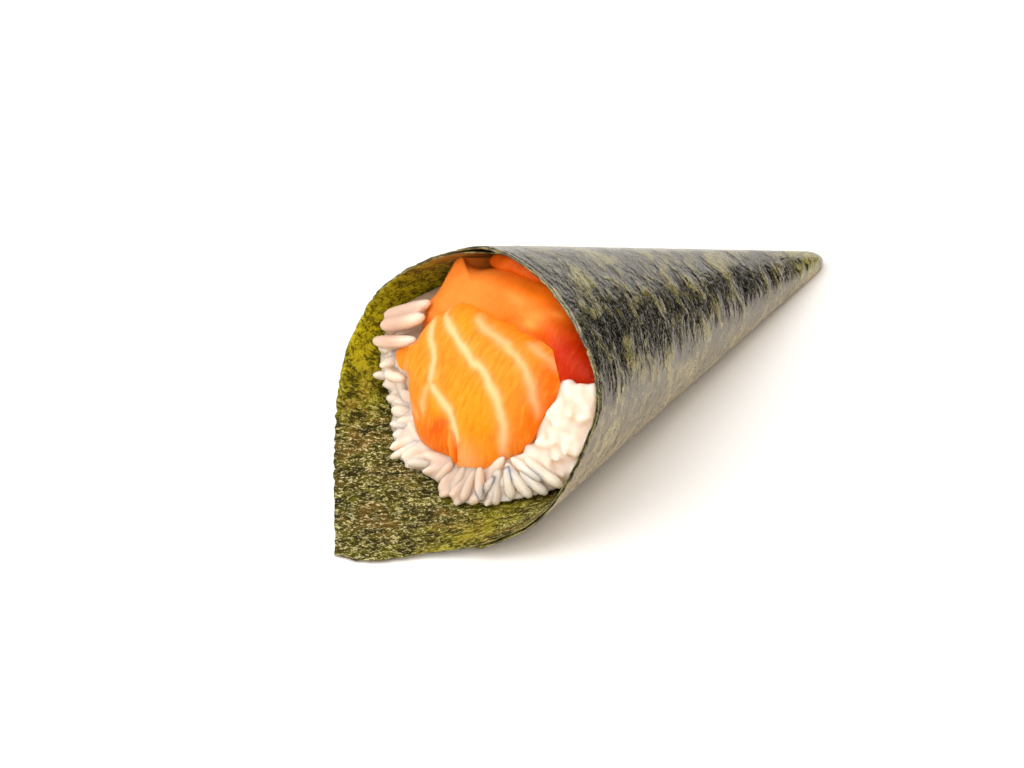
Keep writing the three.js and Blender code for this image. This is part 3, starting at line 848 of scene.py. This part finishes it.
def make_rice():
    rng = np.random.default_rng(7)
    form, faces = grain_form()
    places, ways, shares = grain_bed()
    in_heap = rice_heap(places)

    def add(bodies, place, direction, lie, scale, wall_gap, taken, spacing, deepest):
        """Adds a grain unless it is too near one that is taken, or too deep in a slice or the sheet."""
        side = unit(np.cross(direction, lie))
        turn = np.stack([direction, side, np.cross(direction, side)])
        line = place + np.linspace(-0.36, 0.36, 5)[:, None] * GRAIN_LENGTH * scale[0] * direction
        if taken and np.linalg.norm(line[:, None] - np.concatenate(taken)[None], axis=-1).min() < spacing:
            return
        body = (form * scale) @ turn + place
        if slice_room(body).min() >= deepest and beside_wall(body)[1].min() >= wall_gap:
            bodies.append(body)
            taken.append(line)

    standing, loose, sunk = [], [], []
    for start, end, plumpness in LONG_GRAINS:
        a, b = face_points(*start), face_points(*end)
        length = np.linalg.norm(b - a)
        size = np.array([length / GRAIN_LENGTH * 1.05, plumpness, plumpness])
        bodies = sunk if start in GROWN_IN else loose
        add(bodies, (a + b) / 2, (b - a) / length, FACE_UP, size, STANDING_WALL_GAP, standing, 0, -math.inf)
    for bodies, (tries, lowest, highest, spacing, deepest) in ((sunk, SUNK_GRAINS), (loose, LOOSE_GRAINS)):
        taken = list(standing)
        for _ in range(tries):
            pick = rng.integers(len(places))
            spread, lean, height, twist = rng.normal(), rng.normal(), rng.random(), rng.normal(0, 1, 3)
            size = 1 + 0.1 * rng.normal(0, 1, 3).clip(-1.5, 1.5)
            around = unit(np.cross(ways[pick], FACE_OUT))
            if bodies is loose and in_heap[pick] > 0.3:
                continue
            outer = smooth(shares[pick], 0.6, 0.9)
            low = smooth(-ways[pick] @ FACE_UP, 0.7, 1.0)
            turn = spread * (1.3 - (0.35 + 0.5 * low) * outer)
            tilt = 0.1 + 0.2 * (1 - low) + 0.2 * outer + 0.2 * lean
            direction = unit(ways[pick] * math.cos(turn) + around * math.sin(turn) + FACE_OUT * tilt)
            place = places[pick] + FACE_OUT * (lowest + (highest - lowest) * height)
            place = place + ways[pick] * outer * (1.6 * low - 3.0)
            add(bodies, place, direction, twist, size, GRAIN_WALL_GAP, taken, spacing, deepest)

    make_rice_core(sunk, faces)
    grains = grain_piece("rice_grains", loose, faces)
    paint(grains, "painted_shade_and_bounce", rice_shade_and_bounce(np.concatenate(loose)))
    grains.data.materials.append(rice_material())
    finish_piece(grains, "rice", "rice")


# ---------------------------------------------------------------- materials

SALMON_BRIGHT = (0.74, 0.215, 0.008, 1)
SALMON_BRIGHT_SHADE_AND_TONE = (0.72, 0.10, 0.001, 1)
SALMON_GOLD = (0.74, 0.245, 0.0003, 1)
SALMON_RED = (0.80, 0.16, 0.006, 1)
SALMON_RED_SHADE_AND_TONE = (0.42, 0.018, 0.0003, 1)
SALMON_PINK_HIGHLIGHT = (0.84, 0.28, 0.05, 1)
SALMON_STROKE = (0.90, 0.34, 0.03, 1)
FAT_CREAM = (0.90, 0.50, 0.24, 1)
SALMON_FLESH_INPUTS = {
    "NodeSocketVector": ["Place"],
    "NodeSocketColor": ["Bright Colour", "Shade And Tone Colour", "Gold And Highlight Colour"],
    "NodeSocketFloat": ["Depth", "Gold And Highlight", "Fat", "Fibres"],
}
BRIGHT_FIBRES = 0.35
RED_FIBRES = 0.06
NORI_BLACK = (0.003, 0.003, 0.003, 1)
NORI_GREEN = (0.016, 0.016, 0.008, 1)
NORI_OLIVE = (0.19, 0.165, 0.036, 1)
NORI_FLOOR_REFLECTION = (0.46, 0.34, 0.15, 1)
NORI_LEAFY_TIP = (0.32, 0.29, 0.05, 1)
NORI_PALE_FIBRE_AND_HIGHLIGHT = (0.64, 0.54, 0.29, 1)
NORI_SHADE = (0.020, 0.016, 0.002, 1)
NORI_LEAF = (0.12, 0.105, 0.006, 1)
NORI_YELLOW = (0.30, 0.28, 0.016, 1)
NORI_CREAM = (0.72, 0.64, 0.36, 1)
NORI_BROWN = (0.20, 0.095, 0.018, 1)
NORI_LIT_SHADE = (0.13, 0.10, 0.002, 1)
NORI_LIT = (0.62, 0.52, 0.010, 1)
NORI_DOUBLE_WRAP_SHADE = (0.42, 0.18, 0.028, 1)
CUT_EDGE_DARK = (0.03, 0.025, 0.008, 1)
CUT_EDGE_PALE = (0.20, 0.17, 0.06, 1)
RICE_DULL = (0.79, 0.62, 0.49, 1)
RICE_WHITE = (0.86, 0.73, 0.62, 1)
RICE_WARM_SHADE = (0.56, 0.405, 0.31, 1)
RICE_SHADED = (0.47, 0.30, 0.215, 1)
FLOOR_WHITE = (0.92, 0.89, 0.86, 1)


class Nodes:
    """Adds nodes to a tree and joins them."""

    def __init__(self, tree):
        self.tree = tree

    def add(self, kind, **values):
        node = self.tree.nodes.new(kind)
        for name, value in values.items():
            if hasattr(node, name):
                setattr(node, name, value)
            else:
                self.feed(node, name.replace("_", " "), value)
        return node

    def feed(self, node, socket, value):
        target = node.inputs[socket]
        if isinstance(value, bpy.types.NodeSocket):
            self.tree.links.new(value, target)
        else:
            target.default_value = value

    def mix(self, factor, a, b, blend="MIX"):
        node = self.tree.nodes.new("ShaderNodeMix")
        node.data_type = "RGBA"
        node.blend_type = blend
        for index, value in ((0, factor), (6, a), (7, b)):
            if isinstance(value, bpy.types.NodeSocket):
                self.tree.links.new(value, node.inputs[index])
            else:
                node.inputs[index].default_value = value
        return node.outputs[2]

    def math(self, operation, a, b=0.0, clamp=False):
        node = self.tree.nodes.new("ShaderNodeMath")
        node.operation = operation
        node.use_clamp = clamp
        for index, value in ((0, a), (1, b)):
            if isinstance(value, bpy.types.NodeSocket):
                self.tree.links.new(value, node.inputs[index])
            else:
                node.inputs[index].default_value = value
        return node.outputs[0]

    def ramp(self, value, low, high):
        """0 below low, 1 above high, smooth between."""
        node = self.tree.nodes.new("ShaderNodeMapRange")
        node.interpolation_type = "SMOOTHSTEP"
        node.inputs["From Min"].default_value = low
        node.inputs["From Max"].default_value = high
        self.tree.links.new(value, node.inputs["Value"])
        return node.outputs["Result"]

    def noise(self, vector, scale, detail=3.0, shift=(0, 0, 0), roughness=0.5, distortion=0.0):
        """Noise with its own number of features for each unit along X, Y and Z."""
        mapping = self.tree.nodes.new("ShaderNodeMapping")
        mapping.inputs["Scale"].default_value = scale
        mapping.inputs["Location"].default_value = shift
        self.tree.links.new(vector, mapping.inputs["Vector"])
        node = self.tree.nodes.new("ShaderNodeTexNoise")
        node.inputs["Scale"].default_value = 1
        node.inputs["Detail"].default_value = detail
        node.inputs["Roughness"].default_value = roughness
        node.inputs["Distortion"].default_value = distortion
        self.tree.links.new(mapping.outputs[0], node.inputs["Vector"])
        return node.outputs["Fac"]

    def add_up(self, *terms):
        """A weighted sum of (value, weight) pairs."""
        total = 0.0
        for value, weight in terms:
            total = self.math("ADD", self.math("MULTIPLY", value, weight), total)
        return total


def new_material(name):
    material = bpy.data.materials.new(name)
    material.use_nodes = True
    nodes = Nodes(material.node_tree)
    shader = material.node_tree.nodes["Principled BSDF"]
    return material, nodes, shader


def attribute(nodes, name):
    return nodes.add("ShaderNodeAttribute", attribute_name=name).outputs["Fac"]


def bump(nodes, shader, height, distance, strength=1.0):
    node = nodes.add("ShaderNodeBump")
    node.inputs["Distance"].default_value = distance
    node.inputs["Strength"].default_value = strength
    nodes.feed(node, "Height", height)
    nodes.feed(shader, "Normal", node.outputs["Normal"])


def ridge(nodes, value, width):
    """1 along the lines where a noise passes its middle, 0 away from them."""
    far = nodes.math("ABSOLUTE", nodes.math("SUBTRACT", value, 0.5))
    return nodes.math("SUBTRACT", 1.0, nodes.ramp(far, 0.0, width))


def sheet_place(nodes):
    node = nodes.add("ShaderNodeUVMap", uv_map="sheet")
    return node.outputs["UV"]


def nori_outside():
    """The smooth side: black-green, glossy, with olive fibres along the sheet's short way, pale crest lines that are
    partly the sheet's fibres and partly painted highlight, and a painted reflection of the floor low on its right
    side.
    """
    material, nodes, shader = new_material("nori_outside")
    place = sheet_place(nodes)
    wrinkles = nodes.noise(place, (46, 20, 1), 3, (4, 2, 0), 0.55, 0.9)
    folds = nodes.noise(place, (120, 50, 1), 3, roughness=0.6, distortion=0.7)
    patches = nodes.noise(place, (17, 11, 1), 3, (9, 2, 0), 0.55, 0.8)
    grit = nodes.noise(place, (330, 150, 1), 3, (3, 7, 0), 0.6)
    crests = ridge(nodes, folds, 0.05)
    long_crests = ridge(nodes, wrinkles, 0.03)
    cover = nodes.add_up((folds, 0.26), (wrinkles, 0.30), (patches, 0.44))
    dark = nodes.mix(nodes.ramp(cover, 0.44, 0.52), NORI_BLACK, NORI_GREEN)
    leafy = nodes.ramp(cover, 0.49, 0.60)
    colour = nodes.mix(leafy, dark, NORI_OLIVE)
    at_tip = nodes.math("MULTIPLY", attribute(nodes, "near_tip"), nodes.ramp(folds, 0.40, 0.58))
    colour = nodes.mix(at_tip, colour, NORI_LEAFY_TIP)
    # painted reflection of the floor, broken up by the folds
    painted_floor_reflection = nodes.math("MULTIPLY", attribute(nodes, "painted_floor_reflection"), nodes.ramp(folds, 0.36, 0.50))
    colour = nodes.mix(painted_floor_reflection, colour, NORI_FLOOR_REFLECTION)
    # pale crest lines: partly the sheet's own fibres, partly painted highlight on the ridges
    crest_fibres_and_highlights = nodes.math("MAXIMUM", nodes.math("MULTIPLY", crests, 0.7), long_crests)
    crest_fibres_and_highlights = nodes.math("MULTIPLY", crest_fibres_and_highlights, nodes.add_up((leafy, 0.8), (nodes.ramp(grit, 0.45, 0.60), 0.25)))
    colour = nodes.mix(nodes.math("MULTIPLY", crest_fibres_and_highlights, 0.8), colour, NORI_PALE_FIBRE_AND_HIGHLIGHT)
    nodes.feed(shader, "Base Color", colour)
    scratches = nodes.math("MULTIPLY", crests, nodes.ramp(grit, 0.42, 0.55))
    nodes.feed(shader, "Roughness", nodes.math("ADD", nodes.add_up((grit, 0.2), (scratches, 0.55)), 0.05))
    height = nodes.add_up((folds, 0.22), (wrinkles, 1.0), (patches, 3.0), (crest_fibres_and_highlights, 0.06), (grit, 0.02))
    bump(nodes, shader, height, 0.0003, 0.8)
    shader.inputs["IOR"].default_value = 1.95
    shader.inputs["Specular IOR Level"].default_value = 1.0
    shader.inputs["Specular Tint"].default_value = (1.0, 0.92, 0.80, 1)
    return material


def nori_inside():
    """The rough side: olive, mottled with dark, brown and cream flecks along the sheet's long way."""
    material, nodes, shader = new_material("nori_inside")
    place = sheet_place(nodes)
    flecks = nodes.noise(place, (100, 135, 1), 4, (5, 1, 0), 0.6, 0.9)
    crumbs = nodes.noise(place, (250, 320, 1), 2, (2, 5, 0), 0.6)
    clouds = nodes.noise(place, (28, 30, 1), 3, (1, 4, 0), 0.6)
    patches = nodes.noise(place, (10, 12, 1), 2, (2, 8, 0))
    cover = nodes.add_up((flecks, 0.50), (clouds, 0.32), (crumbs, 0.20))
    colour = nodes.mix(nodes.ramp(cover, 0.45, 0.52), NORI_SHADE, NORI_LEAF)
    colour = nodes.mix(nodes.ramp(cover, 0.53, 0.60), colour, NORI_YELLOW)
    rust = nodes.math("MULTIPLY", nodes.ramp(patches, 0.48, 0.60), nodes.ramp(clouds, 0.42, 0.58))
    colour = nodes.mix(nodes.math("MULTIPLY", rust, 0.6), colour, NORI_BROWN)
    colour = nodes.mix(nodes.math("MULTIPLY", attribute(nodes, "lower"), 0.3), colour, NORI_SHADE)
    cream = nodes.math("MULTIPLY", nodes.ramp(flecks, 0.50, 0.60), nodes.ramp(crumbs, 0.44, 0.56))
    creamy = nodes.add_up((attribute(nodes, "lower"), 0.65), (nodes.ramp(clouds, 0.35, 0.6), 0.40))
    cream = nodes.math("MULTIPLY", cream, creamy)
    cream = nodes.math("MULTIPLY", cream, nodes.math("SUBTRACT", 1.0, attribute(nodes, "thin")))
    colour = nodes.mix(cream, colour, NORI_CREAM)
    # painted light: the glow of light shining through the sheet, where it is marked thin
    lit = nodes.mix(nodes.ramp(cover, 0.43, 0.57), NORI_LIT_SHADE, NORI_LIT)
    light_comes_through = nodes.add_up((patches, 0.9), (clouds, 0.7))
    light_comes_through = nodes.math("MULTIPLY", attribute(nodes, "thin"), light_comes_through, True)
    colour = nodes.mix(light_comes_through, colour, lit)
    # painted shade: brown on the inner face at the top, where two wraps lie together in shadow
    double_wrap_shade = nodes.math("SUBTRACT", 1.0, nodes.ramp(cover, 0.50, 0.60))
    double_wrap_shade = nodes.math("MULTIPLY", attribute(nodes, "double_wrap_shade"), double_wrap_shade)
    colour = nodes.mix(nodes.math("MULTIPLY", double_wrap_shade, 0.85), colour, NORI_DOUBLE_WRAP_SHADE)
    nodes.feed(shader, "Base Color", colour)
    shader.inputs["Roughness"].default_value = 0.6
    shader.inputs["Specular IOR Level"].default_value = 0.08
    bump(nodes, shader, nodes.add_up((flecks, 1.0), (crumbs, 0.5), (clouds, 0.6)), 0.0009, 0.8)
    return material


def nori_cut_edge():
    material, nodes, shader = new_material("nori_cut_edge")
    place = sheet_place(nodes)
    patches = nodes.noise(place, (60, 60, 1))
    colour = nodes.mix(nodes.ramp(patches, 0.40, 0.60), CUT_EDGE_DARK, CUT_EDGE_PALE)
    nodes.feed(shader, "Base Color", colour)
    shader.inputs["Roughness"].default_value = 0.7
    return material


def object_place(nodes):
    return nodes.add("ShaderNodeTexCoord").outputs["Object"]


def salmon_flesh():
    """The group that colours salmon: golden parts and painted highlights, painted shade and deeper tone, fibres and
    lines of fat.
    """
    if "salmon_flesh" in bpy.data.node_groups:
        return bpy.data.node_groups["salmon_flesh"]
    group = bpy.data.node_groups.new("salmon_flesh", "ShaderNodeTree")
    for kind, names in SALMON_FLESH_INPUTS.items():
        for name in names:
            group.interface.new_socket(name, in_out="INPUT", socket_type=kind)
    group.interface.new_socket("Colour", in_out="OUTPUT", socket_type="NodeSocketColor")
    group.interface.new_socket("Height", in_out="OUTPUT", socket_type="NodeSocketFloat")
    nodes = Nodes(group)
    given = nodes.add("NodeGroupInput").outputs
    cloud = nodes.noise(given["Place"], (90, 90, 90))
    fibre = nodes.noise(given["Place"], (1500, 380, 380))
    cloudy = nodes.math("MULTIPLY", nodes.math("SUBTRACT", cloud, 0.5), 0.5)
    # painted shade, with a cloudy deeper tone of the flesh itself
    shade_and_tone_share = nodes.math("ADD", given["Depth"], cloudy, True)
    flesh = nodes.mix(given["Gold And Highlight"], given["Bright Colour"], given["Gold And Highlight Colour"])
    flesh = nodes.mix(shade_and_tone_share, flesh, given["Shade And Tone Colour"])
    strokes = nodes.math("MULTIPLY", nodes.ramp(fibre, 0.50, 0.7), given["Fibres"])
    flesh = nodes.mix(strokes, flesh, SALMON_STROKE)
    gaps = nodes.math("MULTIPLY", nodes.ramp(fibre, 0.50, 0.3), given["Fibres"])
    flesh = nodes.mix(gaps, flesh, given["Shade And Tone Colour"])
    result = nodes.add("NodeGroupOutput")
    nodes.feed(result, "Colour", nodes.mix(nodes.math("MULTIPLY", given["Fat"], 0.9), flesh, FAT_CREAM))
    nodes.feed(result, "Height", nodes.math("ADD", fibre, cloud))
    return group


def salmon_material(name, bright, shade_and_tone, gold_and_highlight, fibres):
    material, nodes, shader = new_material(name)
    flesh = nodes.add("ShaderNodeGroup", node_tree=salmon_flesh())
    colours = {"Bright Colour": bright, "Shade And Tone Colour": shade_and_tone, "Gold And Highlight Colour": gold_and_highlight}
    masks = {"Depth": "shade_and_tone", "Gold And Highlight": "gold_and_highlight", "Fat": "fat"}
    for socket, value in {"Place": object_place(nodes), "Fibres": fibres, **colours}.items():
        nodes.feed(flesh, socket, value)
    for socket, mask in masks.items():
        nodes.feed(flesh, socket, attribute(nodes, mask))
    nodes.feed(shader, "Base Color", flesh.outputs["Colour"])
    shader.inputs["Roughness"].default_value = 0.42
    shader.inputs["Specular IOR Level"].default_value = 0.1
    shader.inputs["Subsurface Weight"].default_value = 0.3
    shader.inputs["Subsurface Radius"].default_value = (1.0, 0.35, 0.12)
    shader.inputs["Subsurface Scale"].default_value = 0.002
    bump(nodes, shader, flesh.outputs["Height"], 0.0003, 0.5)
    return material


def rice_material():
    if "rice_grain" in bpy.data.materials:
        return bpy.data.materials["rice_grain"]
    material, nodes, shader = new_material("rice_grain")
    place = object_place(nodes)
    cloud = nodes.noise(place, (350, 350, 350), 2)
    white = nodes.mix(nodes.ramp(cloud, 0.35, 0.65), RICE_DULL, RICE_WHITE)
    # painted shade, warmed where light bounces off the salmon; above about 1 it turns to the darker shade
    colour = nodes.mix(attribute(nodes, "painted_shade_and_bounce"), white, RICE_WARM_SHADE)
    colour = nodes.mix(nodes.ramp(attribute(nodes, "painted_shade_and_bounce"), 0.9, 1.5), colour, RICE_SHADED)
    nodes.feed(shader, "Base Color", colour)
    shader.inputs["Roughness"].default_value = 0.35
    shader.inputs["Specular IOR Level"].default_value = 0.35
    shader.inputs["Subsurface Weight"].default_value = 0.8
    shader.inputs["Subsurface Radius"].default_value = (1.0, 0.75, 0.55)
    shader.inputs["Subsurface Scale"].default_value = 0.005
    return material


# ---------------------------------------------------------------- floor, light and camera

CAMERA_AZIMUTH = math.radians(43.5)
CAMERA_ELEVATION = math.radians(31)
CAMERA_DISTANCE = 652.07
CAMERA_TARGET = np.array([-12.29, -81.78, LIFT])  # from the tip
CAMERA_LENS = 123.05


def make_floor():
    deselect()
    bpy.ops.mesh.primitive_plane_add(size=4, location=(0, 0, 0))
    floor = bpy.context.object
    floor.name = "floor"
    material, _, shader = new_material("floor_white")
    shader.inputs["Base Color"].default_value = FLOOR_WHITE
    shader.inputs["Roughness"].default_value = 0.5
    floor.data.materials.append(material)


def make_light(name, place, size, power, colour=(1, 1, 1), target=(0, 0, 0.02)):
    light = bpy.data.lights.new(name, "AREA")
    light.color = colour
    light.shape = "RECTANGLE"
    light.size, light.size_y = size
    light.energy = power
    lamp = bpy.data.objects.new(name, light)
    lamp.location = place
    lamp.rotation_euler = (Vector(target) - Vector(place)).to_track_quat("-Z", "Y").to_euler()
    bpy.context.scene.collection.objects.link(lamp)


def make_studio():
    world = bpy.data.worlds.new("studio")
    world.use_nodes = True
    nodes = Nodes(world.node_tree)
    background = world.node_tree.nodes["Background"]
    direction = nodes.add("ShaderNodeTexCoord").outputs["Generated"]
    parts = nodes.add("ShaderNodeSeparateXYZ")
    nodes.feed(parts, "Vector", direction)
    towards_light = nodes.add_up((parts.outputs["Z"], 1.0), (parts.outputs["X"], -0.5), (parts.outputs["Y"], -0.5))
    bright = nodes.ramp(towards_light, -0.1, 1.0)
    nodes.feed(background, "Color", nodes.mix(bright, (0.02, 0.02, 0.02, 1), (0.75, 0.74, 0.74, 1)))
    bpy.context.scene.world = world
    make_light("overhead_light", (-0.25, -0.10, 1.0), (1.4, 1.4), 7.0)
    make_light("back_light", (-0.55, 1.00, 0.20), (0.75, 0.34), 0.9)
    make_light("front_light", (-0.35, -0.85, 0.65), (0.9, 0.9), 6)
    make_light("side_light", (0.70, -0.75, 0.60), (0.9, 0.9), 9.5, (1.0, 0.94, 0.84))
    bpy.context.scene.view_settings.view_transform = "Standard"


def make_camera():
    towards = np.array([
        math.cos(CAMERA_ELEVATION) * math.sin(CAMERA_AZIMUTH),
        -math.cos(CAMERA_ELEVATION) * math.cos(CAMERA_AZIMUTH),
        math.sin(CAMERA_ELEVATION),
    ])
    target = to_frame(CAMERA_TARGET)
    camera = bpy.data.objects.new("camera", bpy.data.cameras.new("camera"))
    camera.data.lens = CAMERA_LENS
    camera.data.clip_end = 10
    camera.location = target + towards * CAMERA_DISTANCE * MM
    camera.rotation_euler = Vector(-towards).to_track_quat("-Z", "Y").to_euler()
    bpy.context.scene.collection.objects.link(camera)
    bpy.context.scene.camera = camera


make_camera()
make_floor()
make_studio()
make_nori()
make_salmon_front()
make_salmon_back()
make_salmon_top()
make_rice()
